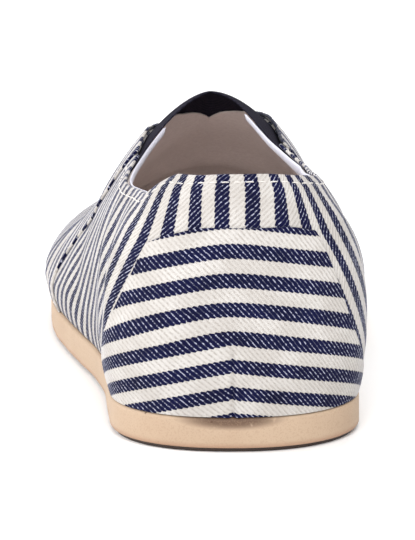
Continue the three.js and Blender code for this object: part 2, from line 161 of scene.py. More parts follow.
def skin(ring, level):
    # a point of the last's skin: ring runs -1..1 round the shoe from toe over outer side, heel (0),
    # inner side to the toe, and level runs from the sole (0) to the crown (1)
    ring, level = np.broadcast_arrays(np.asarray(ring, float), np.asarray(level, float))
    baseY, angle = stationBase(np.abs(ring))
    # the two sides share one section where they meet, at the toe's tip and the heel's back
    toToe = 1 - (1 - np.abs(ring)) / shoe["toeMeeting"]
    toHeel = 1 - np.abs(ring) / shoe["heelMeeting"]
    meeting = smoothed(np.clip(np.maximum(toToe, toHeel), 0, 1))
    half = bySide(ring, lastCurve["outer"](baseY), lastCurve["inner"](baseY))
    back, across = np.cos(angle), np.sin(angle)
    atHeel = back > 1e-9
    depth = np.where(atHeel, shoe["heelDepth"], shoe["toeDepth"])
    power = np.where(atHeel, shoe["heelPower"], shoe["toePower"])
    radius = ((np.abs(back) / depth) ** power + (across / half) ** power) ** (-1 / power)
    rounded = np.where(atHeel, baseY * (1 - back), baseY - shoe["toeReach"] * shoe["toeDepth"] * back)
    powers = []
    for row in ("Side", "Top"):
        outer, inner = lastCurve[f"outer{row}"](rounded), lastCurve[f"inner{row}"](rounded)
        powers.append(bySide(ring, outer, inner) * (1 - meeting) + (outer + inner) / 2 * meeting)
    sidePower, topPower = powers
    share = shoe["widestShare"]
    rise = np.clip((level - share) / (1 - share), 0, 1) * math.pi / 2
    lower = np.clip(level / share, 0, 1)
    below = level < share
    spread = np.where(below, radius - lastCurve["tuck"](baseY) * (1 - lower) ** 2,
                      radius * np.maximum(np.cos(rise), 0) ** (2 / sidePower))
    turned = np.where(ring < 0, -1, 1) * angle - math.radians(shoe["heelTurn"]) * np.maximum(back, 0)
    x = lastCurve["shift"](baseY) + spread * np.sin(turned)
    y = baseY - spread * np.cos(turned)
    widest = lastCurve["widest"](y)
    climb = np.where(below, 0, np.sin(rise) ** (2 / topPower))
    z = footAt(y) + widest * lower + (lastCurve["crown"](y) - widest) * climb
    return np.stack([x, y, z], -1)


def skinNormal(ring, level):
    step = 1.5e-3
    level = np.minimum(level, 0.996)
    side = np.where(ring < 0, -1.0, 1.0)[..., None]
    station = np.abs(ring)
    before = skin(side[..., 0] * np.maximum(station - step, 1e-6), level)
    after = skin(side[..., 0] * np.minimum(station + step, 1), level)
    low = skin(ring, np.maximum(level - step, 0))
    high = skin(ring, level + step)
    normal = np.cross(after - before, high - low) * side
    length = np.linalg.norm(normal, axis=-1, keepdims=True)
    normal = normal / np.maximum(length, 1e-9)
    # both halves of the crown and of the heel's back share one upright plane
    atCrown = np.clip((level - 0.97) / 0.026, 0, 1)
    normal[..., 0] *= 1 - np.maximum(atCrown, np.clip((station - 0.996) / 0.004, 0, 1))
    turn = math.radians(shoe["heelTurn"])
    seamwise = np.array([math.cos(turn), -math.sin(turn), 0.0])
    atBack = np.clip(1 - station / 0.004, 0, 1)
    normal = normal - seamwise * ((normal @ seamwise) * atBack)[..., None]
    return normal / np.linalg.norm(normal, axis=-1, keepdims=True)


# Soft creases. On the sides: y, z, direction in degrees from level, half length, half width, depth;
# over the crown: y, half width, depth
creases = dict(
    outer=[(41, 42, 62, 17, 6.5, 0.9), (63, 47, 105, 14, 5.5, 0.5), (26, 60, 20, 9, 3.5, 0.35),
           (108, 34, 50, 20, 7.0, 0.5), (150, 22, 96, 17, 5.0, 0.55), (166, 21, 84, 15, 4.5, 0.4)],
    inner=[(36, 46, 118, 15, 6.0, 0.7), (70, 48, 80, 14, 6.0, 0.4), (25, 61, -15, 8, 3.5, 0.3),
           (104, 36, 60, 22, 7.0, 0.4), (153, 24, 84, 17, 5.0, 0.55), (170, 22, 98, 15, 4.5, 0.4)],
    crown=[(151, 6.0, 0.6), (168, 5.0, 0.45), (137, 5.5, -0.3), (160, 4.0, -0.25)],
    ridge=0.45, ridgeAway=1.5, ridgeSpread=0.6, crownBend=0.004, crownReach=34, crownFrom=14, crownRise=18,
    footFade=6,
)


def relief(point, ring):
    # how far the cloth stands out (+) or sinks (-) at a point of the skin
    x, y, z = point[..., 0], point[..., 1], point[..., 2]
    total = np.zeros_like(x)
    for side, name in sides:
        onSide = bySide(ring, side < 0, side > 0)
        for cy, cz, turn, length, width, depth in creases[name]:
            c, s = math.cos(math.radians(turn)), math.sin(math.radians(turn))
            along = ((y - cy) * c + (z - cz) * s) / length
            across = (-(y - cy) * s + (z - cz) * c) / width
            fromRidge = np.abs(across) - creases["ridgeAway"]
            ridge = creases["ridge"] * np.exp(-fromRidge ** 2 / creases["ridgeSpread"])
            total += onSide * depth * (ridge - np.exp(-across ** 2)) * np.exp(-along ** 2)
    crown = np.clip((z - shoe["feather"] - creases["crownFrom"]) / creases["crownRise"], 0, 1)
    crown = crown * np.exp(-(x / creases["crownReach"]) ** 2)
    for cy, width, depth in creases["crown"]:
        bend = cy + creases["crownBend"] * x ** 2
        total -= crown * depth * np.exp(-((y - bend) / width) ** 2)
    fade = np.clip((z - footAt(y)) / creases["footFade"], 0, 1)
    return total * fade


crownLevel = 0.9995  # above this a sheet reaches the crown and has no edge


def clothPoint(ring, level, lift):
    point = skin(ring, level)
    rise = relief(point, ring) + lift
    return point + skinNormal(ring, level) * rise[..., None]


def bothSheets(layer, ring, level, thick, lean=0, lap=0):
    # outer and inner points of a sheet that keeps to its layer; lap makes it thicker towards the inside
    outside, inside = layers[layer]
    middle = (outside + inside) / 2
    half = (outside - inside) / 2
    return (clothPoint(ring, level, middle + half * thick + lean),
            clothPoint(ring, level, middle - (half + lap) * thick + lean))


def turningPoint(test, low, high, rounds=26):
    # halves the span between low, where the test fails, and high, where it holds
    for _ in range(rounds):
        middle = (low + high) / 2
        holds = test(middle)
        high = np.where(holds, middle, high)
        low = np.where(holds, low, middle)
    return (low + high) / 2


def levelWhere(ring, test):
    # the lowest level at each ring place where the test turns true, or 1
    ring = np.asarray(ring, float)
    levels = np.linspace(0.02, 1, 300)
    found = test(skin(ring[:, None], levels[None, :]), ring[:, None] + 0 * levels[None, :])
    first = np.maximum(found.argmax(1), 1)
    exact = turningPoint(lambda level: test(skin(ring, level), ring), levels[first - 1], levels[first])
    return np.where(found.any(1), exact, 1.0)


def levelAtHeight(ring, height):
    return turningPoint(lambda level: skin(ring, level)[..., 2] > height, 0 * height, 1 + 0 * height)


def ringAtEdge(height, side, edgeY):
    def ahead(station):
        return skin(side * station, levelAtHeight(side * station, height))[..., 1] > edgeY
    return turningPoint(ahead, 0 * height, 0.3 + 0 * height)


def overTopline(lower):
    # past the opening's edge, or past a line that runs this far below it
    def test(point, ring):
        y = point[..., 1]
        lines = []
        for _, name in sides:
            slope = topline[name](y + 0.5) - topline[name](y - 0.5)
            lines.append(topline[name](y) - lower * np.hypot(1, slope))
        return point[..., 2] > shoe["feather"] + bySide(ring, *lines)
    return test


def insideNotch(rows, grow=0.0):
    # inside the throat's notch, grown by this much all round
    def test(point, ring):
        y = point[..., 1]
        half = bySide(ring, *(np.interp(y, rows["y"], rows[name]) for _, name in sides))
        away = np.abs(point[..., 0] - lastCurve["shift"](rows["y"][-1]))
        inside = (y > bySide(ring, *rows["start"]) - grow) & (y < rows["y"][-1] + grow)
        return inside & (away < half + grow) & (point[..., 2] > shoe["feather"] + 20)
    return test


def arcTo(points):
    step = np.linalg.norm(np.diff(points, axis=-2), axis=-1)
    return np.concatenate([np.zeros(step.shape[:-1] + (1,)), np.cumsum(step, -1)], -1)


edgeRows = [1.6, 1.0, 0.62, 0.36, 0.18, 0.07, 0.0]  # distances of the last rows below a rolled edge


def levelsUp(ring, bottom, top, count):
    # a grid up each ring place, even in length and then with the close rows of the rolled edge:
    # its ring places, its levels and each point's distance from the top
    share = np.linspace(0, 1, 160)
    levels = bottom[:, None] + (top - bottom)[:, None] * share[None, :]
    arc = arcTo(skin(ring[:, None] + 0 * levels, levels))
    out = np.zeros((len(ring), count + len(edgeRows)))
    distance = np.zeros_like(out)
    for i in range(len(ring)):
        total = arc[i, -1]
        edge = np.minimum(np.array(edgeRows), 0.5 * total)
        wanted = np.concatenate([np.linspace(0, total - edge[0], count, endpoint=False), total - edge])
        out[i] = np.interp(wanted, arc[i], levels[i])
        distance[i] = total - wanted
    return ring[:, None] + 0 * out, out, distance


def lengthsOver(surface):
    # along the columns of a grid, and up its rows
    return arcTo(surface.transpose(1, 0, 2)).T, arcTo(surface)


def rolled(distance, radius):
    # share of the thickness near an edge, as a quarter round
    share = np.clip(distance / radius, 0, 1)
    return np.sqrt(np.maximum(1 - (1 - share) ** 2, 0))


def edgeThickness(top, distance, radius):
    # full thickness where the sheet runs on over the crown
    return np.where(top[:, None] < crownLevel, rolled(distance, radius), 1.0)


# The CAD frame has its origin under the middle of the model's box
probe = skin(np.linspace(-1, 1, 900)[:, None], np.linspace(0, 1, 60)[None, :]).reshape(-1, 3)
upperLow, upperHigh = (np.array(corner) * 1000 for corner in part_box("upper"))
frameShift = (upperLow + upperHigh - probe.min(0) - probe.max(0)) / 2 * [1, 1, 0]
print("last placed, shifted by", frameShift.round(2))


def makeMesh(name, points, faces, uv=None):
    mesh = bpy.data.meshes.new(name)
    mesh.from_pydata(((points + frameShift) * 0.001).tolist(), [], faces.tolist())
    mesh.update()
    if uv is not None:
        layer = mesh.uv_layers.new(name="cloth")
        corner = np.zeros(len(mesh.loops), int)
        mesh.loops.foreach_get("vertex_index", corner)
        layer.data.foreach_set("uv", (uv[corner] * 0.001).astype(np.float32).ravel())
    work = bmesh.new()
    work.from_mesh(mesh)
    bmesh.ops.remove_doubles(work, verts=work.verts, dist=2e-6)
    bmesh.ops.dissolve_degenerate(work, edges=work.edges, dist=1e-7)
    bmesh.ops.recalc_face_normals(work, faces=work.faces)
    work.to_mesh(mesh)
    work.free()
    mesh.shade_smooth()
    piece = bpy.data.objects.new(name, mesh)
    bpy.context.scene.collection.objects.link(piece)
    return piece


def gridFaces(index):
    return np.stack([index[:-1, :-1], index[:-1, 1:], index[1:, 1:], index[1:, :-1]], -1).reshape(-1, 4)


def stripFaces(line, twin):
    return np.stack([line[:-1], twin[:-1], twin[1:], line[1:]], -1)


class Sheets:
    # grids of points that become one mesh
    def __init__(self):
        self.points = []
        self.faces = []
        self.corners = []
        self.count = 0

    def add(self, grid, uv, flip=False):
        index = np.arange(grid[..., 0].size).reshape(grid.shape[:2]) + self.count
        faces = gridFaces(index)
        self.points.append(grid.reshape(-1, 3))
        self.corners.append(uv.reshape(-1, 2))
        self.faces.append(faces[:, ::-1] if flip else faces)
        self.count += index.size
        return index

    def mesh(self, name):
        return makeMesh(name, *(np.concatenate(part) for part in (self.points, self.faces, self.corners)))


def shellMesh(name, outer, inner, uv, openEnds=True):
    # two grids, face to face, that meet where the thickness rolls to nothing; open ends get a strip
    sheets = Sheets()
    index = sheets.add(outer, uv)
    twin = sheets.add(inner, uv, flip=True)
    if openEnds:
        sheets.faces += [stripFaces(index[:, end], twin[:, end]) for end in (0, -1)]
    return sheets.mesh(name)


def ringFaces(count, rings, start=0):
    # faces between closed rings of points that follow each other
    around = np.arange(count)
    beside = np.roll(around, -1)
    one = np.stack([around, beside, beside + count, around + count], -1)
    return np.concatenate([one + start + row * count for row in range(rings - 1)])


def capFaces(count, start):
    # closes a ring round the foot by rungs from the outer side to the inner side
    steps = np.arange(count // 2 + 1)
    left = count // 2 - steps
    right = (count // 2 + steps) % count
    return np.stack([left[:-1], left[1:], right[1:], right[:-1]], -1) + start


def solidFaces(count, rings):
    return np.concatenate([ringFaces(count, rings), capFaces(count, 0), capFaces(count, (rings - 1) * count)])


def finishPiece(piece, material, slot, *nodes):
    piece.data.materials.append(material)
    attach(piece, "root")
    if nodes:
        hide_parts(*nodes)


# Shader maths: one wrapped socket, and one method that adds any node
class Socket:
    def __init__(self, finish, socket):
        self.finish = finish
        self.socket = socket

    def math(self, operation, *others):
        return self.finish.add("ShaderNodeMath", dict(operation=operation), [self, *others])

    def __add__(self, other):
        return self.math("ADD", other)

    def __sub__(self, other):
        return self.math("SUBTRACT", other)

    def __rsub__(self, other):
        return self.finish.add("ShaderNodeMath", dict(operation="SUBTRACT"), [other, self])

    def __mul__(self, other):
        return self.math("MULTIPLY", other)

    def __truediv__(self, other):
        return self.math("DIVIDE", other)

    __radd__ = __add__
    __rmul__ = __mul__

    def squared(self):
        return self.math("POWER", 2.0)

    def cycle(self):
        # 1 at each whole number, 0 half way between
        return (self.math("FRACT") - 0.5).math("ABSOLUTE") * 2

    def ramp(self, low, high):
        return self.finish.add("ShaderNodeMapRange", dict(interpolation_type="SMOOTHSTEP", clamp=True),
                               {"Value": self, "From Min": low, "From Max": high})


class Finish:
    def __init__(self, name, **fixed):
        self.material = bpy.data.materials.new(name)
        self.material.use_nodes = True
        self.tree = self.material.node_tree
        self.shader = self.tree.nodes["Principled BSDF"]
        for socket, value in fixed.items():
            self.shader.inputs[socket.replace("_", " ")].default_value = value

    def add(self, kind, settings=None, inputs=None, output=0):
        node = self.tree.nodes.new(kind)
        for key, value in (settings or {}).items():
            setattr(node, key, value)
        pairs = inputs.items() if isinstance(inputs, dict) else enumerate(inputs or [])
        for key, value in pairs:
            if isinstance(value, Socket):
                self.tree.links.new(value.socket, node.inputs[key])
            else:
                node.inputs[key].default_value = value
        return Socket(self, node.outputs[output])

    def blend(self, share, first, second):
        first, second = ((*c, 1) if isinstance(c, tuple) else c for c in (first, second))
        return self.add("ShaderNodeMix", dict(data_type="RGBA", clamp_factor=True),
                        {0: share, 6: first, 7: second}, 2)

    def noise(self, place, scale, detail=2.0, roughness=0.5):
        return self.add("ShaderNodeTexNoise", dict(noise_dimensions="3D"),
                        {"Vector": place, "Scale": scale, "Detail": detail, "Roughness": roughness})

    def threads(self, uvNode, scale, detail):
        # noise drawn out along the cloth's threads
        place = self.add("ShaderNodeMapping", {}, {"Vector": uvNode, "Scale": (*scale, 1)})
        return self.noise(place, 1.0, detail)

    def place(self):
        # the piece's own place, which stays with it
        return self.add("ShaderNodeTexCoord", {}, [], "Object")

    def clothUv(self):
        return self.add("ShaderNodeUVMap", dict(uv_map="cloth"))

    def split(self, vector):
        node = self.add("ShaderNodeSeparateXYZ", {}, [vector]).socket.node
        return [Socket(self, out) for out in node.outputs]

    def put(self, **links):
        for name, value in links.items():
            self.tree.links.new(value.socket, self.shader.inputs[name.replace("_", " ")])

    def bump(self, height, distance, strength):
        return self.add("ShaderNodeBump", {}, {"Height": height, "Distance": distance, "Strength": strength})


def linear(*screenColour):
    shares = [c / 255 for c in screenColour]
    return tuple(c / 12.92 if c <= 0.04 else ((c + 0.055) / 1.055) ** 2.4 for c in shares)


def tickingFinish():
    # striped twill: U runs along the stripes and V across them, both in metres
    look = dict(navy=linear(13, 17, 60), navyDeep=linear(4, 5, 28), fleck=linear(172, 174, 192),
                cream=linear(198, 194, 190), creamLine=linear(166, 159, 153), creamDim=linear(186, 181, 176),
                wobble=0.7, slubShift=0.35, toothDepth=0.38, edgeBlur=0.10)
    finish = Finish("navy_cream_ticking", Specular_IOR_Level=0.12, Sheen_Weight=0.5, Sheen_Roughness=0.14,
                    Sheen_Tint=(0.84, 0.86, 1.0, 1))
    uvNode = finish.clothUv()
    u, v, _ = finish.split(uvNode)
    place = finish.place()
    drift = (finish.noise(place, 26.0, 1.0) - 0.5) * look["wobble"]
    slub = finish.threads(uvNode, (260, 1400), 2.0)
    alongStripe = u * 1000
    acrossStripe = v * 1000 + drift
    angle = math.radians(cloth["twillAngle"])
    twill = (alongStripe * math.sin(angle) + acrossStripe * math.cos(angle)) / cloth["twillPitch"]
    valley = (twill + slub * look["slubShift"]).cycle()
    tooth = (valley - 0.5) * look["toothDepth"]
    distance = (acrossStripe / cloth["stripePitch"] + 0.5).cycle() * (cloth["stripePitch"] / 2)
    halfNavy = cloth["stripePitch"] * cloth["navyShare"] / 2
    navyMask = 1 - (distance + tooth).ramp(halfNavy - look["edgeBlur"], halfNavy + look["edgeBlur"])
    broken = finish.threads(uvNode, (1250, 1250), 1.0)
    fleck = valley.ramp(0.62, 0.94) * (broken.ramp(0.46, 0.62) * 0.9 + 0.1)
    tone = finish.noise(place, 120.0, 2.0)
    navy = finish.blend(tone, look["navyDeep"], look["navy"])
    navy = finish.blend(fleck, navy, look["fleck"])
    cream = finish.blend(tone.ramp(0.35, 0.7), look["creamDim"], look["cream"])
    twillLine = valley.ramp(0.4, 0.9) * (broken.ramp(0.35, 0.65) * 0.7 + 0.2)
    cream = finish.blend(twillLine, cream, look["creamLine"])
    ridge = (1 - valley).ramp(0.0, 0.8)
    height = ridge * 0.75 + finish.threads(uvNode, (1800, 3000), 2.0) * 0.35
    finish.put(Base_Color=finish.blend(navyMask, cream, navy), Roughness=0.82 + ridge * 0.08,
               Normal=finish.bump(height, 0.00022, 0.8))
    return finish.material


ticking = tickingFinish()

# Quarters: the whole wall of the upper, stripes from topline to sole
quarters = dict(columns=230, rows=58, edgeRound=0.55, under=1.4,  # under: how far the toe panel laps over
                bandZ=68.0, lean=0.85, panelKeep=8, leanOver=22, sidePitch=6.6)
stripeArcs = dict(  # where the navy stripes cross the heel band, by length round the collar from its back
    outer=[0.0, 2.6, 9.5, 14.9, 19.2, 23.4, 28.2, 33.6], outerStripe=[0.325, 0, -1, -2, -3, -4, -5, -6],
    inner=[0.0, 5.4, 12.4, 16.8, 20.0, 24.0, 29.2, 34.9], innerStripe=[0.325, 1, 2, 3, 4, 5, 6, 7],
)


def ringPlaces(count):
    # round the whole shoe, closer together at the heel's and the toe's turn
    heel, toe = shoe["heelShare"], shoe["toeShare"]
    atHeel, along = count // 4, count // 2 + count // 12
    half = np.concatenate([np.linspace(0, heel, atHeel, endpoint=False),
                           np.linspace(heel, toe, along, endpoint=False),
                           np.linspace(toe, 1, count - atHeel - along)])
    return np.concatenate([-half[::-1], half[1:]])


def wallArcs(side):
    # length round the wall from the heel's back, at each height and ring place
    heights = np.linspace(10, 66, 29)
    stations = np.linspace(0, 0.8, 321)  # both in even steps, which arcAt counts on
    ring, height = np.meshgrid(side * np.maximum(stations, 1e-7), heights)
    return heights, stations, arcTo(skin(ring, levelAtHeight(ring, height))[..., :2])


def arcAt(table, station, height):
    heights, stations, arcs = table
    row = np.clip((height - heights[0]) / (heights[1] - heights[0]), 0, len(heights) - 1.001)
    column = np.clip(station / stations[1], 0, len(stations) - 1.001)
    r, c = row.astype(int), column.astype(int)
    lower = arcs[r, c] + (arcs[r, c + 1] - arcs[r, c]) * (column - c)
    upper = arcs[r + 1, c] + (arcs[r + 1, c + 1] - arcs[r + 1, c]) * (column - c)
    return lower + (upper - lower) * (row - r)


def bandArc(arc, height, side, name, table):
    # follows a stripe from a point of the wall up to where it meets the heel band: beside the heel
    # panel it keeps along the panel's edge, further on it leans forward evenly
    zs = np.linspace(10, counterRows[f"{name}Top"][-1], 60)
    edgeY = curveThrough(counterRows[f"{name}Z"], counterRows[f"{name}Y"])(zs)
    edge = arcAt(table, ringAtEdge(zs, side, edgeY), zs)
    near = np.interp(height, zs, edge - edge[-1])
    far = quarters["lean"] * np.maximum(quarters["bandZ"] - height, 0)

    def beyond(bandPlace):
        share = smoothed(np.clip((bandPlace - quarters["panelKeep"]) / quarters["leanOver"], 0, 1))
        return bandPlace + near * (1 - share) + far * share > arc
    return turningPoint(beyond, arc - 90.0, arc + 0.01)


def quarterUv(ring, points, height):
    # V counts stripes round the wall, U climbs it
    index = 0
    for side, name in sides:
        table = wallArcs(side)
        arc = bandArc(arcAt(table, np.abs(ring)[:, None] + 0 * height, height), height, side, name, table)
        arcs, indices = stripeArcs[name], stripeArcs[f"{name}Stripe"]
        beyond = indices[-1] + side * (arc - arcs[-1]) / quarters["sidePitch"]
        onSide = bySide(ring, side < 0, side > 0)[:, None]
        index = index + onSide * np.where(arc > arcs[-1], beyond, np.interp(arc, arcs, indices))
    return np.stack([arcTo(points), -index * cloth["stripePitch"]], -1)


def makeQuarters():
    ring = ringPlaces(quarters["columns"])
    # under the toe panel the wall stops short of the panel's edge
    notch = dict(goreRows, start=[start + quarters["under"] for start in goreRows["start"]])
    inNotch = insideNotch(notch, quarters["under"])
    top = np.minimum(levelWhere(ring, overTopline(0)), levelWhere(ring, inNotch))
    ringGrid, levels, distance = levelsUp(ring, 0 * ring, top, quarters["rows"])
    thick = edgeThickness(top, distance, quarters["edgeRound"])
    outer, inner = bothSheets("quarter", ringGrid, levels, thick)
    # the open lower edge between the faces is closed by the sole under it
    uv = quarterUv(ring, outer, skin(ringGrid, levels)[..., 2])
    finishPiece(shellMesh("quarters", outer, inner, uv), ticking, "canvas", "upper")


makeQuarters()
print("quarters made")

# Toe panel over the front of the upper, stripes across it from side to side
vamp = dict(columns=150, rows=56, edgeRound=0.5, girthPower=1.25, stripeOffset=-1.2, notchGap=0.5)


def middleLine():
    # over the instep and down the toe
    y = np.linspace(60, ballY, 200)
    instep = np.stack([0 * y, y, lastCurve["crown"](y) + footAt(y)], -1)
    toe = skin(1.0, np.linspace(1, shoe["widestShare"], 200)) * [0, 1, 1]
    return np.concatenate([instep, toe[1:]])


def vampUv(side, ring, level, points, line):
    # V runs along the middle line and, where the toe falls away, down its face; U runs across the foot
    x, y, z = np.moveaxis(points, -1, 0)
    drop = np.maximum(np.interp(y, line[:, 1], line[:, 2]) - z, 0)
    power = vamp["girthPower"]
    girth = (np.abs(x - lastCurve["shift"](y)) ** power + drop ** power) ** (1 / power)
    facing = np.clip(skinNormal(ring, level)[..., 1], 0, 1) ** 2
    length = np.interp(y, line[:, 1], arcTo(line)) + facing * drop
    return np.stack([side * girth, length + vamp["stripeOffset"]], -1)


def overlaySheets(ring, level, thick, groove=0):
    # a panel on the wall: its face, which rolls down to its foot at the edges
    face, foot = layers["overlay"]
    return (clothPoint(ring, level, foot + (face - foot) * thick - groove * thick),
            clothPoint(ring, level, foot + 0 * level))


def makeVamp():
    rows = np.concatenate([np.linspace(0, 0.965, vamp["rows"]), [0.98, 0.988, 0.993, 0.9965, 0.9985, 1.0]])
    columns = np.concatenate([[0, 0.0006, 0.0014, 0.0026, 0.0042, 0.0062, 0.0095],
                              np.linspace(0.014, 1, vamp["columns"])])
    edgeY = curveThrough(vampEdge["z"], vampEdge["y"])
    line = middleLine()
    stations = np.linspace(0.3, 1, 500)
    sheets = Sheets()
    for side in (-1, 1):
        top = np.minimum(levelWhere(stations * side, overTopline(0)),
                         levelWhere(stations * side, insideNotch(goreRows, vamp["notchGap"])))

        def ahead(station):
            point = skin(station * side, rows * np.interp(station, stations, top))
            return point[:, 1] > edgeY(point[:, 2])
        rear = turningPoint(ahead, 0.3 + 0 * rows, 0.9 + 0 * rows, 30)
        station = rear[None, :] + (1 - rear[None, :]) * columns[:, None]
        topHere = np.interp(station, stations, top)
        level = rows[None, :] * topHere
        ring = station * side
        fromRear, up = lengthsOver(skin(ring, level))
        edgeRound = vamp["edgeRound"]
        thick = rolled(fromRear, edgeRound) * edgeThickness(topHere[:, -1], up[:, -1:] - up, edgeRound)
        outer, foot = overlaySheets(ring, level, thick)
        uv = vampUv(side, ring, level, outer, line)
        sheets.add(outer, uv)
        sheets.add(foot, uv)
    finishPiece(sheets.mesh("vamp_panel"), ticking, "canvas", "vamp")


makeVamp()
print("vamp made")

# Heel panel with level stripes that drop towards its sides and meet in a dart under the middle
counter = dict(columns=74, rows=96, edgeRound=0.5, stripeTop=51.8, stripeStep=7.15, dartTop=29.0,
               dart=(0.55, 0.45), dartRidge=(0.22, 1.6, 0.9),  # height, place, half width
               outerTilt=0.205, outerArch=0.0019, innerTilt=0.104, innerArch=0.00242)


def dartGroove(fromSeam, height):
    depth, width = counter["dart"]
    ridge, away, ridgeWidth = counter["dartRidge"]
    groove = depth * np.exp(-(fromSeam / width) ** 2) - ridge * np.exp(-((fromSeam - away) / ridgeWidth) ** 2)
    return np.clip((counter["dartTop"] - height) / 3, 0, 1) * groove


def counterUv(side, name, fromSeam, height):
    # level stripes that bend down from the seam: sharply at the dart, softly above it
    softness = 0.4 + 6.5 * np.clip((height - counter["dartTop"] + 1) / 8, 0, 1)
    bent = np.hypot(fromSeam, softness) - softness
    drop = counter[f"{name}Tilt"] * bent + counter[f"{name}Arch"] * fromSeam ** 2
    stripe = (height + drop - counter["stripeTop"]) * cloth["stripePitch"] / counter["stripeStep"]
    return np.stack([side * fromSeam, stripe], -1)


def makeCounter():
    floorZ = shoe["feather"] + 0.05
    rows = np.concatenate([np.linspace(0, 0.968, counter["rows"]), [0.979, 0.986, 0.991, 0.995, 0.998, 1.0]])
    columns = np.concatenate([[0, 0.0016, 0.0040, 0.0078, 0.0135, 0.021, 0.032],
                              np.linspace(0.048, 0.945, counter["columns"]),
                              [0.965, 0.976, 0.984, 0.990, 0.995, 1.0]])
    sheets = Sheets()
    for side, name in sides:
        topCurve = curveThrough(counterRows["topY"], counterRows[f"{name}Top"])
        sideZ = floorZ + rows * (counterRows[f"{name}Top"][-1] - floorZ)
        edgeY = curveThrough(counterRows[f"{name}Z"], counterRows[f"{name}Y"])(sideZ)
        station = ringAtEdge(sideZ, side, edgeY)[None, :] * (1 - columns[:, None])
        topRing = side * station[:, -1]
        topZ = topCurve(0 * topRing)
        for _ in range(8):
            topZ = topCurve(skin(topRing, levelAtHeight(topRing, topZ))[..., 1])
        height = floorZ + rows[None, :] * (topZ[:, None] - floorZ)
        ring = side * np.maximum(station, 1e-7)
        level = levelAtHeight(ring, height)
        surface = skin(ring, level)
        fromEdge, up = lengthsOver(surface)
        fromSeam = fromEdge[-1:] - fromEdge
        thick = rolled(fromEdge, counter["edgeRound"]) * rolled(up[:, -1:] - up, counter["edgeRound"])
        outer, foot = overlaySheets(ring, level, thick, dartGroove(fromSeam, surface[..., 2]))
        uv = counterUv(side, name, fromSeam, surface[..., 2])
        sheets.add(outer, uv)
        sheets.add(foot, uv)
    finishPiece(sheets.mesh("counter_panel"), ticking, "canvas", "heel_counter")


makeCounter()
print("heel panel made")

# Elastic insert: tucked under the quarters, free at the throat
gore = dict(columns=120, rows=30, startY=83.0, tuck=4.0, edgeRound=0.3, ribPitch=0.9, cordPitch=0.55)


def elasticFinish():
    finish = Finish("ribbed_elastic", Roughness=0.95, Specular_IOR_Level=0.08)
    u, v, _ = finish.split(finish.clothUv())
    rib = (v * (1000 / gore["ribPitch"])).cycle()
    cord = (u * (1000 / gore["cordPitch"])).cycle()
    tone = finish.noise(finish.place(), 300.0, 2.0)
    colour = finish.blend(rib.ramp(0.2, 0.9) * 0.6 + tone * 0.3, linear(42, 40, 52), linear(24, 22, 31))
    finish.put(Base_Color=colour, Normal=finish.bump(rib * -1 + cord * 0.3, 0.00025, 0.8))
    return finish.material


def makeGore():
    station = stationAt(np.linspace(gore["startY"], goreRows["y"][-1] + gore["tuck"], gore["columns"]))
    sheets = Sheets()
    for side in (-1, 1):
        ring = side * station
        top = levelWhere(ring, overTopline(0))
        bottom = np.minimum(levelWhere(ring, insideNotch(goreRows, gore["tuck"])), top - 0.004)
        ringGrid, levels, distance = levelsUp(ring, bottom, top, gore["rows"])
        thick = edgeThickness(top, distance, gore["edgeRound"])
        outer, inner = bothSheets("gore", ringGrid, levels, thick)
        index = sheets.add(outer, outer[..., :2])
        twin = sheets.add(inner, outer[..., :2])
        for edge in (np.s_[:, 0], np.s_[0], np.s_[-1]):
            sheets.faces.append(stripFaces(index[edge], twin[edge]))
    finishPiece(sheets.mesh("elastic_insert"), elasticFinish(), "elastic", "gore")


makeGore()
print("gore made")

# Lining inside the wall, cut out round the elastic, with the heel lining lapped over the front one
lining = dict(columns=170, rows=44, edgeRound=0.4, below=0.5, lapY=58.0, lapHeight=0.5, lapSlope=0.8)
liningNotch = dict(
    y=[81.5, 87.9, 100.0, 107.0, 111.0, 114.0, 116.2, 118.4, 120.4, 121.8],
    outer=[22.6, 21.8, 19.8, 14.0, 10.4, 8.2, 5.6, 3.1, 1.3, 0.0],
    inner=[18.6, 17.9, 17.4, 14.0, 10.9, 8.9, 6.4, 3.3, 1.4, 0.0], start=(88.0, 84.5),
)


def suedeFinish(name, base, dim):
    finish = Finish(name, Roughness=0.95, Sheen_Weight=0.25, Sheen_Roughness=0.4)
    place = finish.place()
    nap = finish.noise(place, 900.0, 3.0, 0.65)
    cloud = finish.noise(place, 38.0, 2.0)
    colour = finish.blend((nap * 0.5 + cloud * 0.6).ramp(0.3, 0.8), dim, base)
    finish.put(Base_Color=colour, Normal=finish.bump(nap, 0.0003, 0.5))
    return finish.material


taupeSuede = suedeFinish("taupe_suede", linear(233, 221, 216), linear(213, 199, 194))


def makeLining():
    ring = ringPlaces(lining["columns"])
    overTop = levelWhere(ring, overTopline(lining["below"]))
    top = np.minimum(overTop, levelWhere(ring, insideNotch(liningNotch)))
    ringGrid, levels, distance = levelsUp(ring, 0 * ring, top, lining["rows"])
    thick = edgeThickness(top, distance, lining["edgeRound"])
    y = skin(ringGrid, levels)[..., 1]
    lap = lining["lapHeight"] * np.clip((lining["lapY"] - y) / lining["lapSlope"], 0, 1)
    outer, inner = bothSheets("lining", ringGrid, levels, thick, 0, lap)
    piece = shellMesh("lining_sheet", outer, inner, np.stack(lengthsOver(outer), -1))
    finishPiece(piece, taupeSuede, "lining", "upper")


makeLining()
print("lining made")

# White binding tape inside the opening's edge, standing a little over it
tape = dict(columns=150, rows=10, outerWidth=4.0, innerWidth=3.0, proud=0.5, rear=29.6, front=95.5,
            edgeRound=0.42, lean=0.9, leanUnder=1.6, ribPitch=0.7, pickPitch=0.45)


